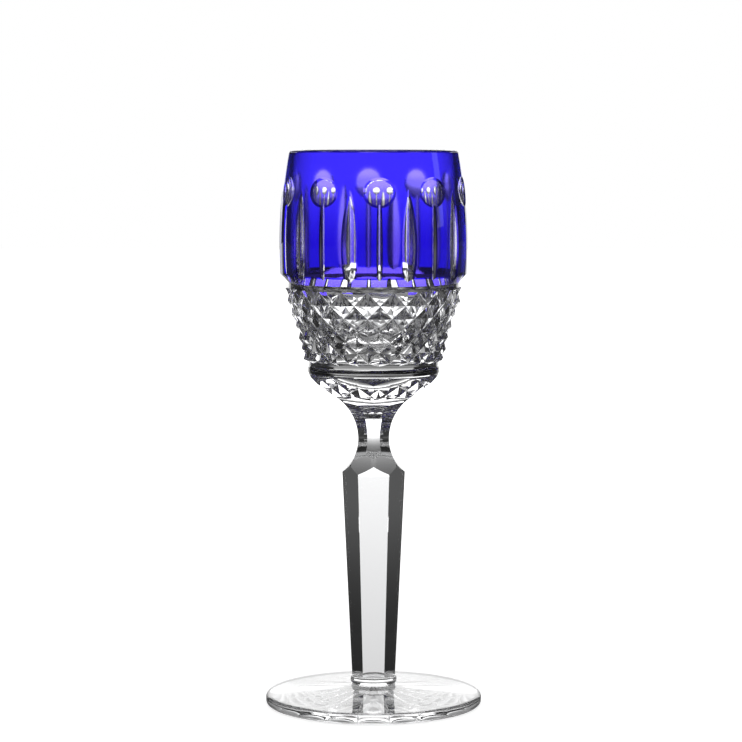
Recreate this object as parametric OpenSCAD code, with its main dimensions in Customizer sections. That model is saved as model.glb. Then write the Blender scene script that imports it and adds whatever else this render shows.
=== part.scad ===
// Cordial glass of cased and cut crystal, in millimetres.
// +Z is up, the underside of the foot rests at z = 0, and the front faces -Y.

/* [Foot] */
// Radius of the round foot
foot_r = 31.2; // [24:0.1:40]
// Height of the foot at its edge
foot_edge_h = 3.1; // [2.8:0.1:4.5]
// Height of the middle of the foot, where the stem stands
foot_hub_h = 5.6; // [5:0.1:7.5]
// Radius of the flat land under the stem
foot_land_r = 6.4; // [6.1:0.1:8]
// Rounding of the upper edge of the foot
foot_top_round = 1.3; // [0.4:0.1:1.5]
// Rounding of the lower edge of the foot
foot_low_round = 0.9; // [0.3:0.1:1.2]

/* [Star under the foot] */
// Number of rays
star_rays = 18; // [12:1:22]
// Distance from the axis to the outer tip of a ray
star_tip_r = 25.6; // [20:0.1:28]
// Depth of the rays where they meet under the stem
star_depth = 1.15; // [0.5:0.05:1.6]
// Angle of the V of a ray, in degrees
star_angle = 120; // [90:1:130]

/* [Stem] */
// Height of the stem from the foot to its shoulder
shaft_h = 61.9; // [40:0.1:80]
// Corner radius of the six-sided stem above its collar
shaft_low_r = 6.1; // [5.5:0.05:7.5]
// Corner radius of the six-sided stem at its shoulder
shaft_top_r = 9.05; // [8:0.05:11]
// Radius of the round collar at the bottom of the stem
collar_r = 6.72; // [6.3:0.02:7.6]
// Radius of the collar's rounded rim
collar_round = 1.7; // [1.4:0.05:2]
// Height of the collar's widest place above the foot
collar_mid_h = 1.38; // [1:0.02:1.6]
// Distance from the axis to a side of the neck at its waist
neck_r = 4.43; // [3.6:0.01:5.2]
// Radius of the hollow sides of the neck below the waist
neck_low_hollow_r = 12.5; // [11:0.1:16]
// Radius of the hollow sides of the neck above the waist
neck_top_hollow_r = 15.5; // [14:0.1:19]
// Angle between the sides of the cone under the bowl and the axis, in degrees
cone_angle = 51.7; // [46:0.1:56]
// Height of the fused joint with the bowl above the waist of the neck
joint_rise = 11; // [8:0.1:11.8]

/* [Bowl] */
// How far the plain ring under the diamonds lies inside the widest place of the barrel
ring_inset = 8.03; // [6.5:0.01:9.5]
// Height of the plain ring
ring_h = 2.3; // [1.6:0.1:4]
// How far the middle of the ring stands out from its edges
ring_bulge = 0.3; // [0.1:0.05:0.35]
// Depth of the groove between the ring and the diamonds, from the ring
low_groove_depth = 0.37; // [0.1:0.01:1.2]
// Height of the groove between the ring and the diamonds
low_groove_h = 1.8; // [1:0.1:3]
// How far the groove above the diamonds lies inside the widest place of the barrel
top_groove_inset = 2.53; // [2:0.01:3.6]
// Height of the groove above the diamonds
top_groove_h = 1.5; // [1:0.1:3]
// Height of the bevel at the lower edge of the barrel
bevel_h = 2.5; // [1.5:0.1:3.5]
// Height of the barrel from the bevel to the rim
barrel_h = 35.3; // [32:0.1:45]
// Height of the widest place of the barrel above the bevel
belly_rise = 8.2; // [6:0.1:12]
// Radius of the barrel at its widest
belly_r = 27; // [26:0.1:30]
// Radius of the barrel's upright curve
barrel_curve_r = 150; // [110:1:220]
// Wall of the whole glass at the widest place
belly_wall = 3.3; // [2.8:0.05:3.8]
// Wall of the whole glass at the rim
rim_wall = 1.8; // [1.3:0.05:2.2]
// Rounding of both edges of the rim
rim_round = 0.55; // [0.2:0.05:0.6]
// Height of the floor of the inside above the fused joint
floor_rise = 12; // [5:0.1:14]
// Thickness of the cobalt overlay
overlay_t = 0.35; // [0.3:0.05:0.8]

/* [Diamonds] */
// Number of diamonds round each row
diamond_count = 20; // [14:2:30]
// Height of the diamond band
band_h = 20.5; // [16:0.1:26]
// How far the tips of the top row lie inside the widest place of the barrel
band_top_inset = 1.6; // [0.6:0.1:2.4]
// How far the tips of the bottom row lie inside the widest place of the barrel
band_low_inset = 6.8; // [6:0.1:7.6]
// Height of a diamond tip above the grooves round it
diamond_depth = 1.5; // [0.9:0.05:1.7]
// Turn of the diamonds from the front, in degrees
diamond_turn = 4.5; // [0:0.5:17.5]

/* [Cuts through the overlay] */
// Number of round cuts, of upright lines and of leaves
cut_count = 10; // [8:1:11]
// Turn of the round cuts from the front, in degrees
cut_turn = 3.5; // [0:0.5:35]
// Distance from the rim to the middle of a round cut
punty_drop = 11.6; // [9:0.1:14]
// Depth of a round cut
punty_depth = 1.15; // [0.9:0.05:1.3]
// Radius of a round cut across its mouth
punty_r = 4.5; // [3.6:0.1:5]
// Depth of an upright line at the widest place of the barrel
line_depth = 1; // [0.8:0.05:1.3]
// Angle of the V of an upright line, in degrees
line_angle = 75; // [50:1:90]
// Height of the middle of a leaf above the bevel
leaf_rise = 9; // [7:0.1:11]
// Depth of a leaf at its middle
leaf_depth = 1.6; // [1.2:0.05:1.75]
// Half of the length of a leaf
leaf_half_l = 15.9; // [13:0.1:17]
// Half of the width of a leaf
leaf_half_w = 2.55; // [2:0.05:3]

/* [Hidden] */
$fn = 120;

// How far a cut runs past the surface that it opens
overrun = 1;
// The sides of the stem, of the neck and of the cone under the bowl
side_count = 6;
front_angle = -90;
side_turn = 180 / side_count;

// The hollow sides of the neck turn this much past the flat sides of the cone, in degrees
cone_bend = 6;

// Steps of the curved outlines
inside_steps = 22;
foot_steps = 10;
// Bend of the foot's top towards the stem
foot_bend_share = 1.5;
// Shape of the inside of the bowl below its widest place
inside_power_share = 2.4;
inside_round_share = 0.5;

// Rows of diamonds: each pitch is this share of the one above it
row_shares = [1, 0.9, 0.655, 0.43, 0.26, 0.13, 0];
row_pitch_share = 0.94;
row_last = len(row_shares) - 1;
site_count = 2 * diamond_count;
site_angle = 360 / site_count;
// The core under the diamonds lies this far inside their grooves
core_gap = 0.6;
// The plain grooves over and under the diamonds cut this far into the end rows
groove_lap = 0.2;

// Radii under the barrel
ring_r = belly_r - ring_inset;
ring_edge_r = ring_r - ring_bulge;
ring_round_r = (ring_h * ring_h / 4 + ring_bulge * ring_bulge) / (2 * ring_bulge);
low_groove_r = ring_r - low_groove_depth;
top_groove_r = belly_r - top_groove_inset;
band_top_r = belly_r - band_top_inset;
band_low_r = belly_r - band_low_inset;

// Heights, from the foot up
shoulder_z = foot_hub_h + shaft_h;
neck_low_reach = neck_low_hollow_r - (shaft_top_r - neck_r);
neck_z = shoulder_z + sqrt(pow(neck_low_hollow_r, 2) - pow(neck_low_reach, 2));
joint_z = neck_z + joint_rise;
function hollow_r(angle) = neck_r + neck_top_hollow_r * (1 - cos(angle));
cone_start_r = hollow_r(cone_angle + cone_bend);
cone_start_z = neck_z + neck_top_hollow_r * sin(cone_angle + cone_bend);
function cone_z(r) = cone_start_z + (r - cone_start_r) / tan(cone_angle);
ring_z = cone_z(ring_r);
low_groove_z = ring_z + ring_h;
band_z = low_groove_z + low_groove_h;
top_groove_z = band_z + band_h;
bevel_z = top_groove_z + top_groove_h;
barrel_z = bevel_z + bevel_h;
belly_z = barrel_z + belly_rise;
rim_z = barrel_z + barrel_h;
floor_z = joint_z + floor_rise;

// The round blank that holds the whole stem
joint_side_r = neck_r + neck_top_hollow_r - sqrt(pow(neck_top_hollow_r, 2) - pow(joint_rise, 2));
stem_blank_r = max(joint_side_r / cos(side_turn), shaft_top_r) + overrun;

// The barrel's upright curve
curve_x = belly_r - barrel_curve_r;
function barrel_r(z) = curve_x + sqrt(pow(barrel_curve_r, 2) - pow(z - belly_z, 2));
barrel_low_r = barrel_r(barrel_z);
barrel_rim_r = barrel_r(rim_z);
inside_belly_r = belly_r - belly_wall;
inside_rim_r = barrel_rim_r - rim_wall;

// Rows of the diamond band, from the top row down
function row_z(k) = top_groove_z - band_h * (1 - pow(row_pitch_share, k)) / (1 - pow(row_pitch_share, row_last));
function tip_r(k) = band_low_r + (band_top_r - band_low_r) * row_shares[k];
function site_r(k, j) = tip_r(k) - ((j + k) % 2 == 0 ? 0 : diamond_depth);
core_top_r = band_top_r - diamond_depth - core_gap;
core_low_r = band_low_r - diamond_depth - core_gap;

// Lean of the star's rays
star_lean = atan(star_depth / star_tip_r);

// Wheel and ball that leave a cut of a given size in the barrel
leaf_bend = 2 * leaf_depth / pow(leaf_half_l, 2) - 1 / barrel_curve_r;
leaf_wheel_r = 1 / leaf_bend;
leaf_angle = 2 * atan(leaf_half_w / leaf_depth);
punty_z = rim_z - punty_drop;
punty_tilt = asin((punty_z - belly_z) / barrel_curve_r);
punty_ball_r = (punty_r * punty_r + punty_depth * punty_depth) / (2 * punty_depth);

module around(count, turn) {
    for (i = [0 : count - 1])
        rotate([0, 0, turn + i * 360 / count])
            children();
}

// Stands an outline drawn as distance and height upright, and gives it a width
module upright(width) {
    rotate([90, 0, 0])
        linear_extrude(height = width, center = true)
            children();
}

// Removes an outer corner of an outline and leaves a round one
module corner_cut(x, y, round_r, side_x, side_y) {
    translate([x - side_x * round_r, y - side_y * round_r])
        difference() {
            translate([min(0, side_x * (round_r + overrun)), min(0, side_y * (round_r + overrun))])
                square([round_r + overrun, round_r + overrun]);
            circle(r = round_r);
        }
}

// A wheel with a V rim, its axis along Y
module v_wheel(wheel_radius, angle, rim_depth) {
    rotate([90, 0, 0])
        rotate_extrude($fn = 360)
            polygon([
                [wheel_radius, 0],
                [wheel_radius - rim_depth, rim_depth * tan(angle / 2)],
                [wheel_radius - rim_depth, -rim_depth * tan(angle / 2)]
            ]);
}

// Everything inside the barrel's curve, less a thickness, between two heights
module barrel_outline(inset, low_z, top_z) {
    intersection() {
        translate([curve_x, belly_z])
            circle(r = barrel_curve_r - inset, $fn = 720);
        translate([0, low_z])
            square([belly_r + overrun, top_z - low_z]);
    }
}

// The bevel at the lower edge of the barrel
module bevel_cut() {
    polygon([
        [top_groove_r, bevel_z],
        [barrel_low_r, barrel_z],
        [belly_r + overrun, barrel_z],
        [belly_r + overrun, bevel_z - overrun],
        [top_groove_r, bevel_z - overrun]
    ]);
}

// The hollow of the bowl, from its floor to the rim
function inside_low(s) = [
    inside_belly_r * pow(1 - pow(sin(s), inside_power_share), inside_round_share),
    belly_z - (belly_z - floor_z) * sin(s)
];
function inside_top(s) = [
    inside_belly_r - (inside_belly_r - inside_rim_r) * s * s,
    belly_z + (rim_z - belly_z) * s
];
module inside_outline() {
    polygon(concat(
        [[0, rim_z + overrun], [0, floor_z]],
        [for (i = [inside_steps - 1 : -1 : 0]) inside_low(90 * i / inside_steps)],
        [for (i = [1 : inside_steps]) inside_top(i / inside_steps)],
        [[inside_rim_r, rim_z + overrun]]
    ));
}

// The blank of the bowl before its diamonds and cuts
module bowl_outline() {
    difference() {
        barrel_outline(overlay_t, bevel_z - top_groove_h / 2, rim_z);
        bevel_cut();
    }
    translate([0, top_groove_z - groove_lap])
        square([top_groove_r, top_groove_h + groove_lap]);
    polygon([
        [0, band_z],
        [core_low_r, band_z],
        [core_top_r, top_groove_z],
        [0, top_groove_z]
    ]);
    translate([0, low_groove_z])
        square([low_groove_r, low_groove_h + groove_lap]);
    translate([0, joint_z])
        square([ring_edge_r, low_groove_z - joint_z]);
    intersection() {
        translate([0, ring_z])
            square([ring_r, ring_h]);
        translate([ring_r - ring_round_r, ring_z + ring_h / 2])
            circle(r = ring_round_r);
    }
}

// The band of diamonds: a ring whose outer points stand out at the tips and lie back at the crossings
function ring_point(r, z, j) = [
    r * cos(front_angle + diamond_turn + j * site_angle),
    r * sin(front_angle + diamond_turn + j * site_angle),
    z
];
module diamond_band() {
    ring_total = row_last + 5;
    lap_top = top_groove_h / 2;
    lap_low = low_groove_h / 2;
    points = concat(
        [for (j = [0 : site_count - 1]) ring_point(core_top_r, top_groove_z + lap_top, j)],
        [for (k = [0 : row_last], j = [0 : site_count - 1]) ring_point(site_r(k, j), row_z(k), j)],
        [for (j = [0 : site_count - 1]) ring_point(core_low_r, band_z - lap_low, j)],
        [for (j = [0 : site_count - 1]) ring_point(core_low_r - core_gap, band_z - lap_low, j)],
        [for (j = [0 : site_count - 1]) ring_point(core_top_r - core_gap, top_groove_z + lap_top, j)]
    );
    function at(ring, j) = (ring % (ring_total - 1)) * site_count + (j % site_count);
    faces = [
        for (ring = [0 : ring_total - 2], j = [0 : site_count - 1], half = [0 : 1])
            (j + ring) % 2 == 0
                ? (half == 0 ? [at(ring, j), at(ring, j + 1), at(ring + 1, j + 1)]
                    : [at(ring, j), at(ring + 1, j + 1), at(ring + 1, j)])
                : (half == 0 ? [at(ring, j), at(ring, j + 1), at(ring + 1, j)]
                    : [at(ring, j + 1), at(ring + 1, j + 1), at(ring + 1, j)])
    ];
    polyhedron(points = points, faces = faces, convexity = 10);
}

// Round cuts: each is a shallow ball-shaped hollow, square to the barrel's curve
module punties() {
    around(cut_count, front_angle + cut_turn)
        translate([curve_x, 0, belly_z])
            rotate([0, -punty_tilt, 0])
                translate([barrel_curve_r - punty_depth + punty_ball_r, 0, 0])
                    sphere(r = punty_ball_r);
}

// Upright lines from the round cuts down to the bevel
module lines() {
    line_floor_r = belly_r - line_depth;
    cut_reach = line_depth + overrun;
    around(cut_count, front_angle + cut_turn)
        translate([0, 0, bevel_z])
            linear_extrude(height = punty_z - punty_r / 2 - bevel_z)
                polygon([
                    [line_floor_r, 0],
                    [line_floor_r + cut_reach, cut_reach * tan(line_angle / 2)],
                    [line_floor_r + cut_reach, -cut_reach * tan(line_angle / 2)]
                ]);
}

// Leaves between the round cuts, from a large wheel with a V rim
module leaves() {
    around(cut_count, front_angle + cut_turn + 180 / cut_count)
        translate([belly_r - leaf_depth + leaf_wheel_r, 0, barrel_z + leaf_rise])
            v_wheel(leaf_wheel_r, leaf_angle, leaf_depth + overrun);
}

module overlay_cuts() {
    punties();
    lines();
    leaves();
}

// Hollow sides of the neck, which run on as the flat sides of the cone under the bowl
module neck_cuts() {
    reach_r = ring_r + overrun;
    flat_r = hollow_r(cone_angle);
    around(side_count, front_angle + side_turn)
        upright(2 * reach_r) {
            intersection() {
                translate([neck_r + neck_low_hollow_r, neck_z])
                    circle(r = neck_low_hollow_r);
                translate([0, neck_z - neck_low_hollow_r])
                    square([reach_r, neck_low_hollow_r]);
            }
            intersection() {
                translate([neck_r + neck_top_hollow_r, neck_z])
                    circle(r = neck_top_hollow_r);
                translate([0, neck_z])
                    square([reach_r, neck_top_hollow_r]);
            }
            polygon([
                [flat_r, neck_z],
                [flat_r, cone_z(flat_r)],
                [reach_r, cone_z(reach_r)],
                [reach_r, neck_z]
            ]);
        }
}

// Flat sides of the stem, which lean in towards the collar
module shaft_cuts() {
    low_side = shaft_low_r * cos(side_turn);
    top_side = shaft_top_r * cos(side_turn);
    lean = (top_side - low_side) / shaft_h;
    around(side_count, front_angle)
        upright(2 * ring_r)
            polygon([
                [low_side, foot_hub_h],
                [low_side + lean * (neck_z - foot_hub_h), neck_z],
                [ring_r, neck_z],
                [ring_r, foot_hub_h - overrun],
                [low_side, foot_hub_h - overrun]
            ]);
}

module overlay() {
    color("#2a12d8")
        difference() {
            rotate_extrude()
                difference() {
                    barrel_outline(0, bevel_z, rim_z);
                    barrel_outline(overlay_t, bevel_z - overrun, rim_z + overrun);
                    bevel_cut();
                    corner_cut(barrel_rim_r, rim_z, rim_round, 1, 1);
                }
            overlay_cuts();
        }
}

module bowl() {
    color("#dfe6ea")
        difference() {
            union() {
                rotate_extrude()
                    difference() {
                        bowl_outline();
                        corner_cut(inside_rim_r, rim_z, rim_round, -1, 1);
                    }
                diamond_band();
            }
            rotate_extrude()
                inside_outline();
            overlay_cuts();
            neck_cuts();
        }
}

module stem() {
    color("#e4eaec") {
        difference() {
            translate([0, 0, foot_hub_h])
                cylinder(r = stem_blank_r, h = joint_z - foot_hub_h);
            shaft_cuts();
            neck_cuts();
        }
        rotate_extrude()
            intersection() {
                union() {
                    translate([collar_r - collar_round, foot_hub_h + collar_mid_h])
                        circle(r = collar_round);
                    square([collar_r - collar_round, foot_hub_h + collar_mid_h + collar_round]);
                }
                translate([0, foot_hub_h])
                    square([collar_r + overrun, shaft_h]);
            }
    }
}

// One ray of the star: a V groove that rises to nothing at its tip
module star_ray() {
    v_h = star_depth + 2 * overrun;
    rotate([90, 0, 90])
        linear_extrude(height = star_tip_r + overrun)
            polygon([
                [0, 0],
                [-v_h * tan(star_angle / 2), -v_h],
                [v_h * tan(star_angle / 2), -v_h]
            ]);
}

module foot() {
    function top_point(s) = [
        foot_r - (foot_r - foot_land_r) * s,
        foot_edge_h + (foot_hub_h - foot_edge_h) * pow(s, foot_bend_share)
    ];
    color("#e9eef0")
        difference() {
            rotate_extrude()
                difference() {
                    polygon(concat(
                        [[0, foot_hub_h], [0, 0], [foot_r, 0]],
                        [for (i = [0 : foot_steps]) top_point(i / foot_steps)]
                    ));
                    corner_cut(foot_r, 0, foot_low_round, 1, -1);
                    corner_cut(foot_r, foot_edge_h, foot_top_round, 1, 1);
                }
            around(star_rays, 0)
                rotate([0, star_lean, 0])
                    translate([0, 0, star_depth * cos(star_lean)])
                        star_ray();
        }
}

overlay();
bowl();
stem();
foot();
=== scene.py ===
"""Cordial glass of cased and cut crystal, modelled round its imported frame.

Every outline is drawn in millimetres as distance from the axis and height above the table, then
turned, extruded and cut as the glass is blown and cut: a clear bowl with a band of diamonds, a
cobalt overlay cut through to it, a six-sided stem and a round foot with a star under it.
"""
from math import asin, atan, atan2, cos, pi, radians, sin, sqrt, tan

import bmesh
import bpy
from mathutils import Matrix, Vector


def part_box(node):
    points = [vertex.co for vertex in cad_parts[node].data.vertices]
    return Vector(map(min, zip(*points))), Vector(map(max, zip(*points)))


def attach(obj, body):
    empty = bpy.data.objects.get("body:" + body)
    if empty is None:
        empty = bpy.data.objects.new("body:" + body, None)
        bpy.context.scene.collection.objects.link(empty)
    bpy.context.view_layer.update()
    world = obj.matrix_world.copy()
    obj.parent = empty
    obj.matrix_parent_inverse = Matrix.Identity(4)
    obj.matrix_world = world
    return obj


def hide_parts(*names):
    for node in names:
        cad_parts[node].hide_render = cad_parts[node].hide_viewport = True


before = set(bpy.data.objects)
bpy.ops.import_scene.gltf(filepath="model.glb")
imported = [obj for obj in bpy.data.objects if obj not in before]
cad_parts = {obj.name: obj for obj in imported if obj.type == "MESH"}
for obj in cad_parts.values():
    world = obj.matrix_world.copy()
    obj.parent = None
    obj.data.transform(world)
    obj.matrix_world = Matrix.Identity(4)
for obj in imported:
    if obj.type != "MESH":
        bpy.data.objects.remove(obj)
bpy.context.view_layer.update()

MM = 0.001


def mm(length):
    """A length in metres as millimetres."""
    return length / MM


# Heights and radii that the frame gives
bowl_low, bowl_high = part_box("bowl")
overlay_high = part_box("overlay")[1]
foot_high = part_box("foot")[1]
rim_z = mm(bowl_high.z)
joint_z = mm(bowl_low.z)
belly_r = mm(overlay_high.x)
foot_r = mm(foot_high.x)
foot_hub_h = mm(foot_high.z)

# Foot: its top bends up from the rounded edge to a flat land, where the collar is fused to it
foot_edge_h = 3.1
foot_top_round = 1.3
foot_low_round = 0.9
foot_land_r = 6.4
foot_bend = 1.5
foot_edge_gap = 0.2
foot_joint_r = 6
star_rays = 18
star_tip_r = 25.6
star_depth = 1.15
star_angle = radians(120)

# Stem: a shaft that tapers down to a round collar, under a neck of two hollows
side_count = 6
shaft_low_r = 6.1
shaft_top_r = 9.05
collar_r = 6.72
collar_round = 1.7
collar_mid_h = 1.38
neck_r = 4.43
neck_low_hollow_r = 12.5
neck_top_hollow_r = 15.5
cone_angle = radians(51.7)
cone_bend = radians(6)
joint_rise = 11

# Bowl: ring, low groove, band of diamonds, top groove, bevel and barrel, from the base upwards
ring_r = 18.97
ring_h = 2.3
ring_bulge = 0.3
low_groove_r = 18.6
low_groove_h = 1.8
top_groove_r = 24.47
top_groove_h = 1.5
groove_lap = 0.2
bevel_h = 2.5
belly_rise = 8.2
barrel_curve_r = 150
belly_wall = 3.3
rim_wall = 1.8
rim_round = 0.55
floor_rise = 12
overlay_t = 0.35
inside_power = 2.4
inside_round = 0.5

# Diamonds: the share of the band's flare that each row of tips stands out by
band_h = 20.5
band_top_r = 25.4
band_low_r = 20.2
row_shares = (1, 0.9, 0.655, 0.43, 0.26, 0.13, 0)
row_pitch_share = 0.94
diamond_count = 20
diamond_depth = 1.5
diamond_turn = radians(4.5)
core_gap = 0.6
diamond_edge = 0.09

# Cuts through the overlay: round cuts, a line under each, and leaves between them
cut_count = 10
cut_turn = radians(3.5)
punty_drop = 11.6
punty_depth = 1.15
punty_r = 4.5
punty_wheel_half = radians(38)
line_depth = 1
line_angle = radians(75)
leaf_rise = 9
leaf_depth = 1.6
leaf_half_l = 15.9
leaf_half_w = 2.55
cut_bottom_r = 0.35

# The front of the glass faces -Y, and cutters run past what they cut
front = -pi / 2
overrun = 1

# How finely curves are drawn; the overlay and the bowl share the first three, so that they meet
turn_steps = 288
barrel_steps = 48
rim_steps = 10
inside_low_steps = 64
inside_top_steps = 32
ring_steps = 12
wheel_steps = 240
wheel_rim_steps = 76
leaf_steps = 64
cut_bottom_steps = 6
neck_steps = 96
stem_blank_steps = 96
collar_steps = 192
collar_bead_steps = 24
foot_top_steps = 40
foot_high_steps = 14
foot_low_steps = 12
bevel_halvings = 40

# Points nearer to each other than this, in millimetres, are merged
doubled = 0.002

# How near to the axis or to a size a point or a face has to lie, in millimetres, to be on it
on_axis = 0.001
near = 0.01
near_curve = 0.02
near_wall = 0.1
near_groove = 0.3

# How far a normal has to lean one way for its face to point that way
square_on = 0.9
level = 0.95

# Edges that turn less than these are shaded smooth, or aren't softened
smooth_angle = radians(14)
flat_angle = radians(12)

# Heights and radii worked out from these sizes
neck_z = joint_z - joint_rise
shoulder_z = neck_z - sqrt(neck_low_hollow_r**2 - (neck_low_hollow_r - shaft_top_r + neck_r) ** 2)
cone_start_r = neck_r + neck_top_hollow_r * (1 - cos(cone_angle + cone_bend))
cone_start_z = neck_z + neck_top_hollow_r * sin(cone_angle + cone_bend)
ring_z = cone_start_z + (ring_r - cone_start_r) / tan(cone_angle)
ring_edge_r = ring_r - ring_bulge
ring_round_r = ((ring_h / 2) ** 2 + ring_bulge**2) / (2 * ring_bulge)
low_groove_z = ring_z + ring_h
band_z = low_groove_z + low_groove_h
top_groove_z = band_z + band_h
bevel_z = top_groove_z + top_groove_h
barrel_z = bevel_z + bevel_h
belly_z = barrel_z + belly_rise
floor_z = joint_z + floor_rise
curve_x = belly_r - barrel_curve_r
core_top_r = band_top_r - diamond_depth - core_gap
core_low_r = band_low_r - diamond_depth - core_gap

# Colours of the glass. The cobalt is painted darker, as shade, from its own colour near the rim to
# a shaded one at the belly, between two drops in millimetres, and painted darker again at its
# edges, as its wall turns away from the eye
GLASS_IOR = 1.54
CRYSTAL_COLOUR = (0.99, 0.993, 1.0)
COBALT_COLOUR = (0.043, 0.025, 1.0)
COBALT_BELLY_SHADE = (0.012, 0.004, 0.62)
COBALT_TOP_DROP = 9
COBALT_LOW_DROP = 1
COBALT_EDGE_SHADE = (0.004, 0.004, 0.2)
COBALT_EDGE_SHADE_TURN = 0.2, 0.75

# Polish: haze is roughness, and waves are given by how many lie in a metre and by their depth in
# millimetres
HAZE_DENSITY = 900
HAZE_SPREAD = 0.3, 0.7
FAINT_HAZE = 0.02
COBALT_HAZE = 0.03
INSIDE_HAZE = 0.03
BARREL_HAZE = 0.1
STAR_HAZE = 0.25
STAR_MOST_HAZE = 1.3 * STAR_HAZE
CUT_WAVES = 90, 0.003
STAR_WAVES = 90, 0.01
INSIDE_WAVES = 60, 0.004
COBALT_WAVES = 70, 0.006

# The ring and the groove: level marks, stretched round the glass, and painted shade on them: a
# near-black tint, lighter in painted streaks of light along the marks
RING_MARK_STRETCH = (60, 60, 2600)
RING_MARK_DEPTH = 0.02
RING_HAZE_SPREAD = 0.35, 0.65
RING_HAZE = 0.12
RING_PAINTED_SHADE_SPREAD = 0.4, 0.62
RING_PAINTED_SHADE = 0.02
RING_PAINTED_STREAK_LIGHT = 0.12

# Camera, in the photograph's place: its level is just above the rim, looking a little down
camera_distance = 774
camera_height = 165.7
camera_tilt = radians(5.1)
camera_side = -0.75
camera_lens = 131
camera_sensor = 36
camera_nearest = 0.01

# Studio, in metres: a tall screen behind the glass, a light above and a narrow one at the side
screen_half_angle = radians(27)
screen_y = 0.8
screen_h = 0.62
screen_dim_z = 0.1
screen_bright_z = 0.2
top_light_size = (0.5, 0.5)
top_light_place = (0, -0.1, 0.9)
side_light_size = (0.1, 0.6)
side_light_place = (0.6, -0.02, 0.45)
floor_size = 6
floor_drop = 0.0002

# Strengths of the lights, and of the dark room that the glass sees round them
SCREEN_LOW_GLOW = 1.3
SCREEN_GLOW = 2.2
TOP_GLOW = 0.6
SIDE_GLOW = 1
ROOM_LIGHT = 0.25
ROOM_TO_GLASS = 0.04

# The table as the glass sees it is painted light: a glow behind with a painted sheen, painted shade
# all about, and a painted pool of light under the foot.
# A reach is a pair of distances from the axis in metres, between which one tone becomes another
TABLE_COLOUR = (0.8, 0.8, 0.8)
TABLE_PAINTED_GLOW = 0.06
TABLE_PAINTED_SHEEN = 1.6
TABLE_FADE_ANGLE = radians(8)
ASIDE_REACH = 0.05, 0.8
ASIDE_PAINTED_SHADE = 0.02, 0.1
UNDER_REACH = 0.026, 0.04
UNDER_PAINTED_LIGHT = 0.4

# The table as the camera sees it: white, with a shadow close by
WHITE_REACH = 0.06, 0.25
NEAR_WHITENESS = 0.8


def barrel_r(z, inset=0):
    """Radius of the barrel at a height, less a thickness taken square to its curve."""
    return curve_x + sqrt((barrel_curve_r - inset) ** 2 - (z - belly_z) ** 2)


def arc(centre_x, centre_z, radius, start, end, steps):
    """Points along an arc, from one angle to another."""
    turns = [start + (end - start) * i / steps for i in range(steps + 1)]
    return [(centre_x + radius * cos(t), centre_z + radius * sin(t)) for t in turns]


def deselect():
    bpy.ops.object.select_all(action="DESELECT")


def pick_up(piece):
    """Makes a piece the only one selected, and the active one."""
    deselect()
    piece.select_set(True)
    bpy.context.view_layer.objects.active = piece


def start_piece(name, place):
    """Adds a piece that is a single point so far, in edit mode."""
    deselect()
    bpy.ops.mesh.primitive_plane_add(size=MM)
    piece = bpy.context.object
    piece.name = name
    piece.data.name = name
    bpy.ops.object.mode_set(mode="EDIT")
    bpy.ops.mesh.select_all(action="SELECT")
    bpy.ops.mesh.merge(type="CENTER")
    bpy.ops.transform.translate(value=Vector(place) * MM)
    return piece


def draw(name, places, closed=True):
    """Draws an outline through places in space by extruding a point, and leaves it in edit mode."""
    piece = start_piece(name, places[0])
    for here, there in zip(places, places[1:]):
        step = (Vector(there) - Vector(here)) * MM
        bpy.ops.mesh.extrude_vertices_move(TRANSFORM_OT_translate={"value": step})
    if closed:
        mesh = bmesh.from_edit_mesh(piece.data)
        for vertex in mesh.verts:
            vertex.select_set(len(vertex.link_edges) == 1)
        mesh.select_flush_mode()
        bmesh.update_edit_mesh(piece.data)
        bpy.ops.mesh.edge_face_add()
    bpy.ops.mesh.select_all(action="SELECT")
    return piece


def flat(points):
    """Stands an outline of distance and height upright, in the XZ plane."""
    return [(x, 0, z) for x, z in points]


def close_up():
    """Merges doubled points and turns every face outwards, then leaves edit mode."""
    bpy.ops.mesh.select_all(action="SELECT")
    bpy.ops.mesh.remove_doubles(threshold=doubled * MM)
    bpy.ops.mesh.normals_make_consistent(inside=False)
    mesh = bmesh.from_edit_mesh(bpy.context.object.data)
    if mesh.calc_volume(signed=True) < 0:
        bpy.ops.mesh.flip_normals()
    bpy.ops.object.mode_set(mode="OBJECT")


def turned(name, points, steps, closed=True):
    """A turned solid: an outline spun a full turn round the axis."""
    piece = draw(name, flat(points), closed)
    bpy.ops.mesh.spin(steps=steps, angle=2 * pi, center=(0, 0, 0), axis=(0, 0, 1))
    close_up()
    return piece


def bar(name, places, along):
    """A straight bar: an outline filled and extruded along a direction."""
    piece = draw(name, places)
    bpy.ops.mesh.edge_face_add()
    bpy.ops.mesh.extrude_region_move(TRANSFORM_OT_translate={"value": Vector(along) * MM})
    close_up()
    return piece


def apply_place(piece, turn=(0, 0, 0), move=(0, 0, 0)):
    """Turns and moves a piece, and puts the change into its mesh."""
    piece.rotation_euler = turn
    piece.location = Vector(move) * MM
    pick_up(piece)
    bpy.ops.object.transform_apply(location=True, rotation=True, scale=True)


def copy_turned(piece, angle):
    """Duplicates a cutter and turns the copy round the axis."""
    pick_up(piece)
    bpy.ops.object.duplicate()
    copy = bpy.context.object
    apply_place(copy, turn=(0, 0, angle))
    return copy


def copies_around(piece, count, start):
    """Joins copies of a cutter that lie clear of each other, set round the axis."""
    copies = [copy_turned(piece, start + 2 * pi * i / count) for i in range(count)]
    bpy.data.objects.remove(piece)
    deselect()
    for copy in copies:
        copy.select_set(True)
    bpy.context.view_layer.objects.active = copies[0]
    bpy.ops.object.join()
    return bpy.context.object


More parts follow.
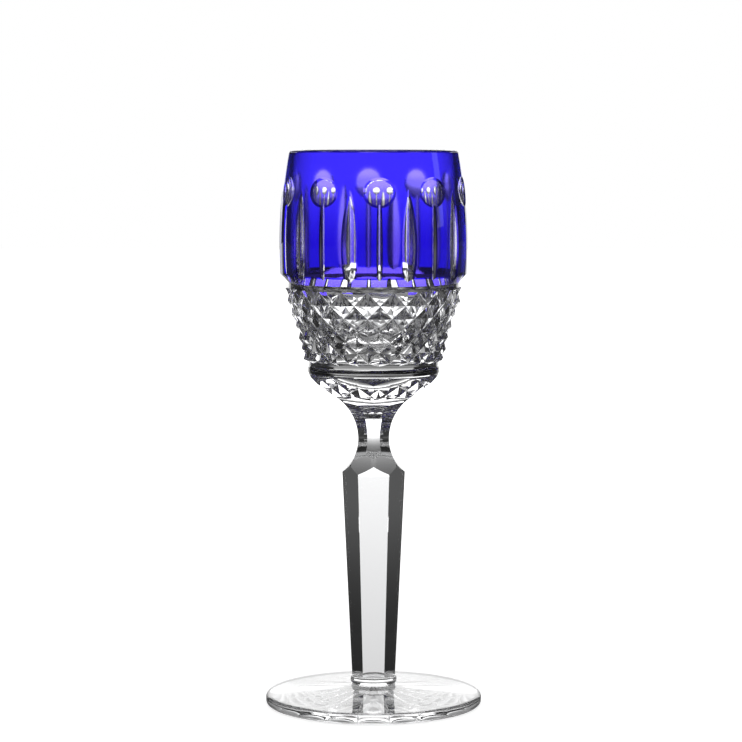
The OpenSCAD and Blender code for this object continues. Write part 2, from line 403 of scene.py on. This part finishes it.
def combine(piece, other, operation):
    """Cuts one solid from another, or joins them, and deletes the second."""
    pick_up(piece)
    modifier = piece.modifiers.new(operation.title(), "BOOLEAN")
    modifier.operation = operation
    modifier.solver = "MANIFOLD"
    modifier.object = other
    bpy.ops.object.modifier_apply(modifier=modifier.name)
    bpy.data.objects.remove(other)


def cut_around(piece, cutter, count, start):
    """Cuts a piece with copies of a cutter that cross each other, one after another."""
    for i in range(count):
        combine(piece, copy_turned(cutter, start + 2 * pi * i / count), "DIFFERENCE")
    bpy.data.objects.remove(cutter)


def smooth(piece):
    """Shades the curves smooth and keeps the cut edges sharp."""
    pick_up(piece)
    bpy.ops.object.shade_smooth_by_angle(angle=smooth_angle)


def punty_wheels():
    """Small wheels with full rims, each of which leaves a round hollow in the barrel."""
    z = rim_z - punty_drop
    tilt = asin((z - belly_z) / barrel_curve_r)
    # The wheel is a little smaller than the ball that would leave this cut in a flat wall, and its
    # rim a little flatter
    even_r = (punty_r**2 + punty_depth**2) / (2 * punty_depth)
    wheel_r = 1 / (1 / even_r + 1 / barrel_curve_r)
    rim_curve_r = 1 / (1 / even_r - 1 / belly_r)
    rim = arc(
        wheel_r - rim_curve_r, 0, rim_curve_r, -punty_wheel_half, punty_wheel_half, wheel_rim_steps
    )
    # Spun round Z first, then laid on its side
    outline = [(0, rim[0][1])] + rim + [(0, rim[-1][1])]
    wheel = turned("punty_wheel", outline, wheel_steps, closed=False)
    apply_place(wheel, turn=(pi / 2, 0, 0))
    reach = barrel_curve_r - punty_depth + wheel_r
    apply_place(wheel, move=(curve_x + reach * cos(tilt), 0, belly_z + reach * sin(tilt)))
    return copies_around(wheel, cut_count, front + cut_turn)


def rounded_v(depth, angle, bottom_r):
    """A V outline as depth and half width, from side to side, with its bottom rounded."""
    turn = pi / 2 - angle / 2
    steps = cut_bottom_steps
    turns = [turn * i / steps for i in range(-steps, steps + 1)]
    bottom = [(bottom_r * (1 - cos(t)), bottom_r * sin(t)) for t in turns]
    side = (depth - bottom[-1][0]) * tan(angle / 2) + bottom[-1][1]
    return [(depth, -side)] + bottom + [(depth, side)]


def line_bars():
    """Bars for the upright lines under the round cuts."""
    floor_r = belly_r - line_depth
    top_z = rim_z - punty_drop - punty_r / 2
    outline = rounded_v(line_depth + overrun, line_angle, cut_bottom_r)
    places = [(floor_r + d, w, bevel_z) for d, w in outline]
    line = bar("line_bar", places, (0, 0, top_z - bevel_z))
    return copies_around(line, cut_count, front + cut_turn)


def leaf_wheels():
    """Parts of large wheels with a V rim, for the leaves between the round cuts."""
    # A wheel of this size is as deep as the leaf in its middle and leaves the wall at its tips
    wheel_r = 1 / (2 * leaf_depth / leaf_half_l**2 - 1 / barrel_curve_r)
    centre = (belly_r - leaf_depth + wheel_r, 0, barrel_z + leaf_rise)
    leaf_angle = 2 * atan(leaf_half_w / leaf_depth)
    outline = rounded_v(leaf_depth + overrun, leaf_angle, cut_bottom_r)
    reach = asin((leaf_half_l + 4 * overrun) / wheel_r)
    start = Vector((-cos(reach), 0, sin(reach)))
    places = [Vector(centre) + start * (wheel_r - d) + Vector((0, w, 0)) for d, w in outline]
    wheel = draw("leaf_wheel", places)
    centre_m = Vector(centre) * MM
    bpy.ops.mesh.spin(steps=leaf_steps, angle=2 * reach, center=centre_m, axis=(0, 1, 0))
    mesh = bmesh.from_edit_mesh(wheel.data)
    for edge in mesh.edges:
        edge.select_set(len(edge.link_faces) == 1)
    bmesh.update_edit_mesh(wheel.data)
    bpy.ops.mesh.edge_face_add()
    close_up()
    return copies_around(wheel, cut_count, front + cut_turn + pi / cut_count)


def neck_bar():
    """A bar that hollows a side of the neck and planes a side of the cone under the bowl."""
    reach_r = ring_r + overrun
    reach_z = cone_start_z + (reach_r - cone_start_r) / tan(cone_angle)
    low_x = neck_r + neck_low_hollow_r
    top_x = neck_r + neck_top_hollow_r
    cone_turn = pi - cone_angle - cone_bend
    side = arc(low_x, neck_z, neck_low_hollow_r, 1.5 * pi, pi, neck_steps)
    side += arc(top_x, neck_z, neck_top_hollow_r, pi, cone_turn, neck_steps)[1:]
    outline = side + [(reach_r, reach_z), (reach_r, neck_z - neck_low_hollow_r)]
    return bar("neck_bar", [(x, -reach_r, z) for x, z in outline], (0, 2 * reach_r, 0))


def shaft_bar():
    """A bar that planes one leaning side of the stem."""
    low_side = shaft_low_r * cos(pi / side_count)
    top_side = shaft_top_r * cos(pi / side_count)
    lean = (top_side - low_side) / (shoulder_z - foot_hub_h)
    top_z = neck_z + overrun / 2
    outline = [
        (low_side - lean * overrun, foot_hub_h - overrun),
        (low_side + lean * (top_z - foot_hub_h), top_z),
        (ring_r, top_z),
        (ring_r, foot_hub_h - overrun),
    ]
    return bar("shaft_bar", [(x, -ring_r, z) for x, z in outline], (0, 2 * ring_r, 0))


def star_bar():
    """A V bar that rises to nothing at the tip of a ray of the star."""
    lean = atan(star_depth / star_tip_r)
    height = star_depth + 2 * overrun
    half_w = height * tan(star_angle / 2)
    places = [(0, 0, 0), (0, -half_w, -height), (0, half_w, -height)]
    ray = bar("star_bar", places, (star_tip_r + overrun, 0, 0))
    apply_place(ray, turn=(0, lean, 0), move=(0, 0, star_depth))
    return ray


def cut_through(piece):
    """Makes the round cuts, lines and leaves in the overlay or the bowl."""
    combine(piece, punty_wheels(), "DIFFERENCE")
    combine(piece, line_bars(), "DIFFERENCE")
    combine(piece, leaf_wheels(), "DIFFERENCE")


def barrel_line(inset, low_z, top_z):
    """Points up the barrel's curve between two heights."""
    heights = [low_z + (top_z - low_z) * i / barrel_steps for i in range(barrel_steps + 1)]
    return [(barrel_r(z, inset), z) for z in heights]


def bevel_meets(inset):
    """Height at which the bevel meets the barrel's curve less a thickness."""
    low, high = bevel_z, barrel_z
    for _ in range(bevel_halvings):
        z = (low + high) / 2
        bevel_x = top_groove_r + (barrel_r(barrel_z) - top_groove_r) * (z - bevel_z) / bevel_h
        if bevel_x < barrel_r(z, inset):
            low = z
        else:
            high = z
    return z


# The overlay and the bowl meet on the barrel's curve, from the bevel up to the rim
joint_low_z = bevel_meets(overlay_t)
rim_r = barrel_r(rim_z)


def overlay_blank():
    """The casing before it is cut."""
    outer = barrel_line(0, barrel_z, rim_z - rim_round)
    corner = arc(rim_r - rim_round, rim_z - rim_round, rim_round, 0, pi / 2, rim_steps)
    inner = barrel_line(overlay_t, joint_low_z, rim_z)
    return turned("overlay_glass", outer + corner[1:] + inner[::-1], turn_steps)


def inside_line():
    """The inside of the bowl: a full round floor up to the belly, then a slow curve to the rim."""
    belly_in = belly_r - belly_wall
    rim_in = rim_r - rim_wall
    points = []
    for i in range(inside_low_steps, 0, -1):
        s = sin(pi / 2 * i / inside_low_steps)
        r = belly_in * (1 - s**inside_power) ** inside_round
        points.append((r, belly_z - (belly_z - floor_z) * s))
    corner_z = rim_z - rim_round
    for i in range(inside_top_steps + 1):
        s = i / inside_top_steps * (corner_z - belly_z) / (rim_z - belly_z)
        points.append((belly_in - (belly_in - rim_in) * s * s, belly_z + (rim_z - belly_z) * s))
    return points


def bowl_blank():
    """The clear bowl before it is cut, with a core for the band of diamonds."""
    inside = inside_line()
    corner = arc(inside[-1][0] + rim_round, inside[-1][1], rim_round, pi, pi / 2, rim_steps)
    outer = barrel_line(overlay_t, joint_low_z, rim_z)[::-1]
    half = asin(ring_h / 2 / ring_round_r)
    ring = arc(ring_r - ring_round_r, ring_z + ring_h / 2, ring_round_r, half, -half, ring_steps)
    below = [
        (top_groove_r, bevel_z),
        (top_groove_r, top_groove_z - groove_lap),
        (core_top_r, top_groove_z - groove_lap),
        (core_low_r, band_z + groove_lap),
        (low_groove_r, band_z + groove_lap),
        (low_groove_r, low_groove_z),
    ]
    base = [(ring_edge_r, joint_z), (0, joint_z)]
    outline = inside + corner[1:] + outer + below + ring + base
    return turned("bowl_glass", outline, turn_steps, closed=False)


def diamond_band():
    """A ring of pyramids: rows of tips, with the points between them drawn back as crossings."""
    last = len(row_shares) - 1
    tips = []
    for k, share in enumerate(row_shares):
        drop = (1 - row_pitch_share**k) / (1 - row_pitch_share**last)
        tips.append((band_low_r + (band_top_r - band_low_r) * share, top_groove_z - band_h * drop))
    top_z = top_groove_z + top_groove_h / 2
    low_z = band_z - low_groove_h / 2
    outline = [(core_top_r, top_z)] + tips + [(core_low_r, low_z)]
    outline += [(core_low_r - core_gap, low_z), (core_top_r - core_gap, top_z)]
    sites = 2 * diamond_count
    band = turned("diamond_band", outline, sites)
    pick_up(band)
    bpy.ops.object.mode_set(mode="EDIT")
    for k, (tip_r, z) in enumerate(tips):
        mesh = bmesh.from_edit_mesh(band.data)
        bpy.ops.mesh.select_all(action="DESELECT")
        for vertex in mesh.verts:
            x, y, height = (mm(c) for c in vertex.co)
            site = round(atan2(y, x) / (2 * pi) * sites)
            on_row = abs(height - z) < near and abs(sqrt(x * x + y * y) - tip_r) < near
            vertex.select_set(on_row and (site + k) % 2 == 1)
        mesh.select_flush_mode()
        bmesh.update_edit_mesh(band.data)
        share = (tip_r - diamond_depth) / tip_r
        bpy.ops.transform.resize(value=(share, share, 1), center_override=(0, 0, z * MM))
    bpy.ops.mesh.select_all(action="SELECT")
    bpy.ops.mesh.quads_convert_to_tris(quad_method="SHORTEST_DIAGONAL")
    # The ridges and valleys are softened, and edges inside a flat side are left alone
    mesh = bmesh.from_edit_mesh(band.data)
    bpy.ops.mesh.select_all(action="DESELECT")
    on_rows = {v for v in mesh.verts if band_z - near < mm(v.co.z) < top_groove_z + near}
    for edge in mesh.edges:
        edge.select_set(set(edge.verts) <= on_rows and edge.calc_face_angle(0) > flat_angle)
    bmesh.update_edit_mesh(band.data)
    bpy.ops.mesh.bevel(offset=diamond_edge * MM, segments=2, clamp_overlap=True, affect="EDGES")
    bpy.ops.mesh.select_all(action="SELECT")
    bpy.ops.mesh.normals_make_consistent(inside=False)
    bpy.ops.object.mode_set(mode="OBJECT")
    apply_place(band, turn=(0, 0, front + diamond_turn))
    return band


def make_overlay():
    """The cobalt casing, cut through by the round cuts, lines and leaves."""
    piece = overlay_blank()
    cut_through(piece)
    smooth(piece)
    return piece


def make_bowl():
    """The clear bowl with its diamonds, the same cuts as the casing and six planed sides below."""
    piece = bowl_blank()
    combine(piece, diamond_band(), "UNION")
    cut_through(piece)
    cut_around(piece, neck_bar(), side_count, front + pi / side_count)
    smooth(piece)
    return piece


def make_stem():
    """A round blank planed to the shaft, hollowed to the neck, with a round collar at its foot."""
    blank_r = ring_r - 2 * overrun
    outline = [(0, foot_hub_h), (blank_r, foot_hub_h), (blank_r, joint_z), (0, joint_z)]
    piece = turned("stem_glass", outline, stem_blank_steps, closed=False)
    cut_around(piece, shaft_bar(), side_count, front)
    cut_around(piece, neck_bar(), side_count, front + pi / side_count)
    mid_z = foot_hub_h + collar_mid_h
    start = -asin(collar_mid_h / collar_round)
    bead = arc(collar_r - collar_round, mid_z, collar_round, start, pi / 2, collar_bead_steps)
    outline = [(0, foot_hub_h)] + bead + [(0, bead[-1][1])]
    collar = turned("collar", outline, collar_steps, closed=False)
    combine(piece, collar, "UNION")
    smooth(piece)
    return piece


def make_foot():
    """A disc with rounded edges that rises to the flat land under the collar, and its star."""
    top = []
    for i in range(foot_top_steps + 1):
        s = i / foot_top_steps
        rise = (foot_hub_h - foot_edge_h) * s**foot_bend
        top.append((foot_r - (foot_r - foot_land_r) * s, foot_edge_h + rise))
    top = [p for p in top if p[0] < foot_r - foot_top_round - foot_edge_gap]
    low_x = foot_r - foot_low_round
    low = arc(low_x, foot_low_round, foot_low_round, -pi / 2, 0, foot_low_steps)
    high_x, high_z = foot_r - foot_top_round, foot_edge_h - foot_top_round
    high = arc(high_x, high_z, foot_top_round, 0, pi / 2, foot_high_steps)
    bead_r = collar_r - collar_round + sqrt(collar_round**2 - collar_mid_h**2)
    outline = [(0, 0)] + low + high + top + [(bead_r, foot_hub_h), (0, foot_hub_h)]
    piece = turned("foot_glass", outline, turn_steps, closed=False)
    cut_around(piece, star_bar(), star_rays, 0)
    smooth(piece)
    return piece


def feed(tree, value, socket):
    """Joins an output to an input, or sets the input to a plain number or colour."""
    if isinstance(value, bpy.types.NodeSocket):
        tree.links.new(value, socket)
    elif isinstance(value, tuple):
        socket.default_value = (*value, 1)
    else:
        socket.default_value = value


def maths(tree, operation, *values):
    """The result of a sum on outputs or plain numbers."""
    made = tree.nodes.new("ShaderNodeMath")
    made.operation = operation
    for value, socket in zip(values, made.inputs):
        feed(tree, value, socket)
    return made.outputs[0]


def ramp(tree, value, limits, results, kind="SMOOTHSTEP"):
    """A change from one result to another as a value goes between two limits."""
    made = tree.nodes.new("ShaderNodeMapRange")
    made.interpolation_type = kind
    feed(tree, value, made.inputs["Value"])
    for end, limit, result in zip(("Min", "Max"), limits, results):
        feed(tree, limit, made.inputs["From " + end])
        feed(tree, result, made.inputs["To " + end])
    return made.outputs["Result"]


def colour_between(tree, share, low, high):
    """A colour between two, each from an output or plain."""
    made = tree.nodes.new("ShaderNodeMix")
    made.data_type = "RGBA"
    share_socket, low_socket, high_socket = (made.inputs[i] for i in (0, 6, 7))
    feed(tree, share, share_socket)
    feed(tree, low, low_socket)
    feed(tree, high, high_socket)
    return made.outputs[2]


def object_place(tree):
    """Where a point lies on its piece."""
    return tree.nodes.new("ShaderNodeTexCoord").outputs["Object"]


def split(tree, place):
    """The X, Y and Z of a place."""
    made = tree.nodes.new("ShaderNodeSeparateXYZ")
    feed(tree, place, made.inputs[0])
    return made.outputs


def noise(tree, place, density, detail):
    """A soft random pattern."""
    made = tree.nodes.new("ShaderNodeTexNoise")
    feed(tree, place, made.inputs["Vector"])
    feed(tree, density, made.inputs["Scale"])
    feed(tree, detail, made.inputs["Detail"])
    return made.outputs[0]


def bump(tree, height, depth):
    """The normals of a surface with hills of a depth in millimetres."""
    made = tree.nodes.new("ShaderNodeBump")
    feed(tree, depth * MM, made.inputs["Distance"])
    feed(tree, height, made.inputs["Height"])
    return made.outputs["Normal"]


def hand_polish_group():
    """Long shallow waves and a breath of haze, as felt and pumice leave them on cut glass."""
    group = bpy.data.node_groups.new("hand_polish", "ShaderNodeTree")
    for name in ("Wave Density", "Haze Density", "Least Haze", "Most Haze"):
        group.interface.new_socket(name, in_out="INPUT", socket_type="NodeSocketFloat")
    for name in ("Haze", "Waves"):
        group.interface.new_socket(name, in_out="OUTPUT", socket_type="NodeSocketFloat")
    given = group.nodes.new("NodeGroupInput").outputs
    result = group.nodes.new("NodeGroupOutput")
    place = object_place(group)
    waves = noise(group, place, given["Wave Density"], detail=1)
    specks = noise(group, place, given["Haze Density"], detail=4)
    least_to_most = given["Least Haze"], given["Most Haze"]
    haze = ramp(group, specks, HAZE_SPREAD, least_to_most, "LINEAR")
    feed(group, haze, result.inputs["Haze"])
    feed(group, waves, result.inputs["Waves"])
    return group


def glass(name, colour):
    """Perfect glass, with its node tree and the inputs of its shader."""
    material = bpy.data.materials.new(name)
    material.use_nodes = True
    tree = material.node_tree
    sockets = tree.nodes["Principled BSDF"].inputs
    feed(tree, colour, sockets["Base Color"])
    feed(tree, GLASS_IOR, sockets["IOR"])
    feed(tree, 1, sockets["Transmission Weight"])
    return material, tree, sockets


def polished_glass(name, colour, waves, most_haze, least_haze=0):
    """Glass as hand polish leaves it; waves gives their density and depth."""
    material, tree, sockets = glass(name, colour)
    polish = tree.nodes.new("ShaderNodeGroup")
    polish.node_tree = hand_polish
    wave_density, wave_depth = waves
    feed(tree, wave_density, polish.inputs["Wave Density"])
    feed(tree, HAZE_DENSITY, polish.inputs["Haze Density"])
    feed(tree, least_haze, polish.inputs["Least Haze"])
    feed(tree, most_haze, polish.inputs["Most Haze"])
    feed(tree, polish.outputs["Haze"], sockets["Roughness"])
    feed(tree, bump(tree, polish.outputs["Waves"], wave_depth), sockets["Normal"])
    return material, tree, sockets


def crystal_material(name, waves, most_haze, least_haze=0):
    """Clear crystal with a polish of its own."""
    return polished_glass(name, CRYSTAL_COLOUR, waves, most_haze, least_haze)[0]


def turned_material():
    """The plain ring and the groove, with the fine level marks of the wheel left in them, and
    painted shade: a near-black tint, lighter in painted streaks of light along the marks.
    """
    material, tree, sockets = glass("clear_crystal_turned", CRYSTAL_COLOUR)
    stretch = tree.nodes.new("ShaderNodeMapping")
    stretch.inputs["Scale"].default_value = RING_MARK_STRETCH
    feed(tree, object_place(tree), stretch.inputs["Vector"])
    marks = noise(tree, stretch.outputs[0], density=1, detail=3)
    haze = ramp(tree, marks, RING_HAZE_SPREAD, (FAINT_HAZE, RING_HAZE))
    # Painted shade: the tint is near black, and lighter along the marks as painted streaks of light
    painted_tone = ramp(tree, marks, RING_PAINTED_SHADE_SPREAD, (RING_PAINTED_SHADE, RING_PAINTED_STREAK_LIGHT))
    feed(tree, haze, sockets["Roughness"])
    feed(tree, painted_tone, sockets["Base Color"])
    feed(tree, bump(tree, marks, RING_MARK_DEPTH), sockets["Normal"])
    return material


def cobalt_material():
    """The blue casing, with painted shade: darker low in the barrel, and darker at its edges, where
    it is seen along its wall.
    """
    material, tree, sockets = polished_glass(
        "cobalt_crystal", COBALT_COLOUR, COBALT_WAVES, COBALT_HAZE
    )
    # Painted shade: the blue is darker towards the belly
    heights = (belly_z - COBALT_LOW_DROP) * MM, (rim_z - COBALT_TOP_DROP) * MM
    rise = ramp(tree, split(tree, object_place(tree))["Z"], heights, (0, 1))
    shaded_by_height = colour_between(tree, rise, COBALT_BELLY_SHADE, COBALT_COLOUR)
    # Painted shade: the blue is darker still where its wall turns away from the eye
    weight = tree.nodes.new("ShaderNodeLayerWeight")
    weight.inputs["Blend"].default_value = 0.5
    along = ramp(tree, weight.outputs["Facing"], COBALT_EDGE_SHADE_TURN, (0, 1))
    feed(tree, colour_between(tree, along, shaded_by_height, COBALT_EDGE_SHADE), sockets["Base Color"])
    return material


def inside_material():
    """The inside of the bowl, clearest low down and a little hazed in the barrel."""
    material, tree, sockets = polished_glass(
        "clear_crystal_inside", CRYSTAL_COLOUR, INSIDE_WAVES, FAINT_HAZE
    )
    height = split(tree, object_place(tree))["Z"]
    rise = ramp(tree, height, (bevel_z * MM, belly_z * MM), (INSIDE_HAZE, BARREL_HAZE))
    polish_haze = tree.nodes["Group"].outputs["Haze"]
    feed(tree, maths(tree, "ADD", rise, polish_haze), sockets["Roughness"])
    return material


def fused_material():
    """Glass fused to glass: light passes the joint unbent."""
    material = bpy.data.materials.new("fused_joint")
    material.use_nodes = True
    material.node_tree.nodes["Principled BSDF"].inputs["Alpha"].default_value = 0
    return material


def dress(piece, materials, pick):
    """Gives each face of a piece one of its materials."""
    piece.data.materials.clear()
    for material in materials:
        piece.data.materials.append(material)
    for face in piece.data.polygons:
        x, y, z = (mm(c) for c in face.center)
        r = sqrt(x * x + y * y)
        outwards = (x * face.normal.x + y * face.normal.y) / r if r > on_axis else 0
        face.material_index = pick(r, z, outwards, face.normal.z)


def in_casing(r, z, outwards):
    """True on the joint between the overlay and the bowl."""
    on_curve = abs(r - barrel_r(z, overlay_t)) < near_curve
    return on_curve and joint_low_z - near < z < rim_z and abs(outwards) > square_on


def overlay_face(r, z, outwards, up):
    """0 cobalt, 1 fused."""
    return int(in_casing(r, z, outwards))


def bowl_face(r, z, outwards, up):
    """0 crystal, 1 fused, 2 inside, 3 turned."""
    if in_casing(r, z, outwards) or (abs(z - joint_z) < near and up < -square_on):
        return 1
    in_wall = r < belly_r - belly_wall + near_wall and z > floor_z - near_wall
    if in_wall and (outwards < 0 or up > square_on):
        return 2
    on_ring = ring_z < z < low_groove_z + near and r > low_groove_r - near_wall
    by_groove = top_groove_z - near_groove < z < bevel_z + near
    on_groove = by_groove and abs(r - top_groove_r) < near_curve
    return 3 if (on_ring or on_groove) and outwards > square_on else 0


def stem_face(r, z, outwards, up):
    """0 crystal, 1 fused."""
    on_end = abs(z - joint_z) < near or abs(z - foot_hub_h) < near
    return int(on_end and abs(up) > square_on)


def foot_face(r, z, outwards, up):
    """0 crystal, 1 fused, 2 matt star."""
    if up > square_on and abs(z - foot_hub_h) < near / 2 and r < foot_joint_r:
        return 1
    return 2 if z < star_depth and r < star_tip_r and -level < up < 0 else 0


hand_polish = hand_polish_group()
crystal = crystal_material("clear_crystal", CUT_WAVES, FAINT_HAZE)
inside = inside_material()
turned_crystal = turned_material()
star_crystal = crystal_material("clear_crystal_star", STAR_WAVES, STAR_MOST_HAZE, STAR_HAZE)
cobalt = cobalt_material()
fused = fused_material()

overlay = make_overlay()
bowl = make_bowl()
stem = make_stem()
foot = make_foot()
dress(overlay, (cobalt, fused), overlay_face)
dress(bowl, (crystal, fused, inside, turned_crystal), bowl_face)
dress(stem, (crystal, fused), stem_face)
dress(foot, (crystal, fused, star_crystal), foot_face)

for piece, name, slot in (
    (overlay, "overlay", "cobalt_crystal"),
    (bowl, "bowl", "clear_crystal"),
    (stem, "stem", "clear_crystal"),
    (foot, "foot", "clear_crystal"),
):
    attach(piece, "root")
    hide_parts(name)

bpy.ops.object.camera_add(
    location=Vector((camera_side, -camera_distance, camera_height)) * MM,
    rotation=(pi / 2 - camera_tilt, 0, 0),
)
camera = bpy.context.object
camera.data.sensor_width = camera_sensor
camera.data.lens = camera_lens
camera.data.clip_start = camera_nearest
bpy.context.scene.camera = camera


def ray_kinds(tree):
    """One where a ray comes from the camera, and one where it comes off or through the glass."""
    path = tree.nodes.new("ShaderNodeLightPath").outputs
    glassy = maths(tree, "MAXIMUM", path["Is Transmission Ray"], path["Is Glossy Ray"])
    return path["Is Camera Ray"], glassy


def glow_material(name, strength):
    """A plain white light."""
    material = bpy.data.materials.new(name)
    material.use_nodes = True
    tree = material.node_tree
    tree.nodes.clear()
    out = tree.nodes.new("ShaderNodeOutputMaterial")
    glow = tree.nodes.new("ShaderNodeEmission")
    feed(tree, strength, glow.inputs["Strength"])
    feed(tree, glow.outputs[0], out.inputs["Surface"])
    return material


def screen_material():
    """A backdrop that is lit most above the height of the glass."""
    material = glow_material("white_screen", SCREEN_GLOW)
    tree = material.node_tree
    heights = [z / screen_h - 0.5 for z in (screen_dim_z, screen_bright_z)]
    height = split(tree, object_place(tree))["Y"]
    strength = ramp(tree, height, heights, (SCREEN_LOW_GLOW, SCREEN_GLOW))
    feed(tree, strength, tree.nodes["Emission"].inputs["Strength"])
    return material


def floor_material():
    """A table white to the camera. The glass sees painted light on it: a glow behind with a painted
    sheen, painted shade close by and to the sides, and a painted pool of light under the foot.
    """
    material = bpy.data.materials.new("floor")
    material.use_nodes = True
    tree = material.node_tree
    table = tree.nodes["Principled BSDF"]
    feed(tree, TABLE_COLOUR, table.inputs["Base Color"])
    feed(tree, 1, table.inputs["Roughness"])
    feed(tree, 0, table.inputs["Specular IOR Level"])
    feed(tree, (1, 1, 1), table.inputs["Emission Color"])
    place = object_place(tree)
    parts = split(tree, place)
    length = tree.nodes.new("ShaderNodeVectorMath")
    length.operation = "LENGTH"
    feed(tree, place, length.inputs[0])
    reach = length.outputs["Value"]
    aside = maths(tree, "ABSOLUTE", maths(tree, "ARCTAN2", parts["X"], parts["Y"]))
    to_camera, glassy = ray_kinds(tree)

    # To the glass: a painted glow and sheen behind, painted shade about, and a painted pool of
    # light under the foot
    limits = screen_half_angle, screen_half_angle + TABLE_FADE_ANGLE
    wedge = ramp(tree, aside, limits, (1, 0))
    # Painted sheen: the table behind glows more where it is seen at a slant
    painted_sheen = tree.nodes.new("ShaderNodeFresnel").outputs[0]
    painted_tone = maths(tree, "MULTIPLY_ADD", painted_sheen, TABLE_PAINTED_SHEEN, TABLE_PAINTED_GLOW)
    painted_glow_behind = maths(tree, "MULTIPLY", wedge, painted_tone)
    # Painted shade about the glass, darkest close by
    painted_shade_about = ramp(tree, reach, ASIDE_REACH, ASIDE_PAINTED_SHADE)
    # A painted pool of light on the table under the foot
    painted_pool_under = ramp(tree, reach, UNDER_REACH, (UNDER_PAINTED_LIGHT, 0))
    painted_table_light = maths(tree, "MAXIMUM", maths(tree, "MAXIMUM", painted_glow_behind, painted_shade_about), painted_pool_under)
    glow = tree.nodes.new("ShaderNodeEmission")
    feed(tree, painted_table_light, glow.inputs["Strength"])

    # To the camera
    whiteness = ramp(tree, reach, WHITE_REACH, (NEAR_WHITENESS, 1))
    feed(tree, maths(tree, "MULTIPLY", to_camera, whiteness), table.inputs["Emission Strength"])
    mix = tree.nodes.new("ShaderNodeMixShader")
    feed(tree, glassy, mix.inputs[0])
    feed(tree, table.outputs[0], mix.inputs[1])
    feed(tree, glow.outputs[0], mix.inputs[2])
    feed(tree, mix.outputs[0], tree.nodes["Material Output"].inputs["Surface"])
    return material


def world_light():
    """White to the camera, and a dark room to the glass."""
    world = bpy.data.worlds.new("studio")
    bpy.context.scene.world = world
    world.use_nodes = True
    tree = world.node_tree
    to_camera, glassy = ray_kinds(tree)
    room = maths(tree, "MULTIPLY_ADD", glassy, ROOM_TO_GLASS - ROOM_LIGHT, ROOM_LIGHT)
    background = tree.nodes["Background"]
    feed(tree, maths(tree, "MAXIMUM", to_camera, room), background.inputs["Strength"])
    feed(tree, (1, 1, 1), background.inputs["Color"])


# The studio stands on a turntable, so that its white screen is behind the glass for every camera
deselect()
bpy.ops.object.empty_add()
studio = bpy.context.object
studio.name = "studio_turntable"
follow = studio.constraints.new("LOCKED_TRACK")
follow.target = camera
follow.track_axis = "TRACK_NEGATIVE_Y"
follow.lock_axis = "LOCK_Z"


def stage_panel(name, size, place, turn, material):
    """A soft light on the turntable, which the camera doesn't see."""
    deselect()
    bpy.ops.mesh.primitive_plane_add(size=1)
    panel = bpy.context.object
    panel.name = name
    panel.scale = (*size, 1)
    panel.location = place
    panel.rotation_euler = turn
    panel.parent = studio
    panel.data.materials.append(material)
    panel.visible_camera = False
    panel.visible_shadow = False


screen_size = (2 * screen_y * tan(screen_half_angle), screen_h)
screen_place = (0, screen_y, screen_h / 2)
top_glow = glow_material("top_light", TOP_GLOW)
side_glow = glow_material("side_light", SIDE_GLOW)
stage_panel("white_screen", screen_size, screen_place, (pi / 2, 0, 0), screen_material())
stage_panel("top_light", top_light_size, top_light_place, (0, 0, 0), top_glow)
stage_panel("side_light", side_light_size, side_light_place, (pi / 2, 0, -pi / 2), side_glow)
world_light()

deselect()
bpy.ops.mesh.primitive_plane_add(size=floor_size, location=(0, 0, -floor_drop))
floor = bpy.context.object
floor.name = "floor"
floor.parent = studio
floor.data.materials.append(floor_material())

# A ray crosses many walls of cut glass before it leaves
scene = bpy.context.scene
scene.view_settings.view_transform = "Standard"
scene.cycles.max_bounces = 32
scene.cycles.transmission_bounces = 28
scene.cycles.glossy_bounces = 16
scene.cycles.transparent_max_bounces = 64
scene.cycles.sample_clamp_indirect = 4
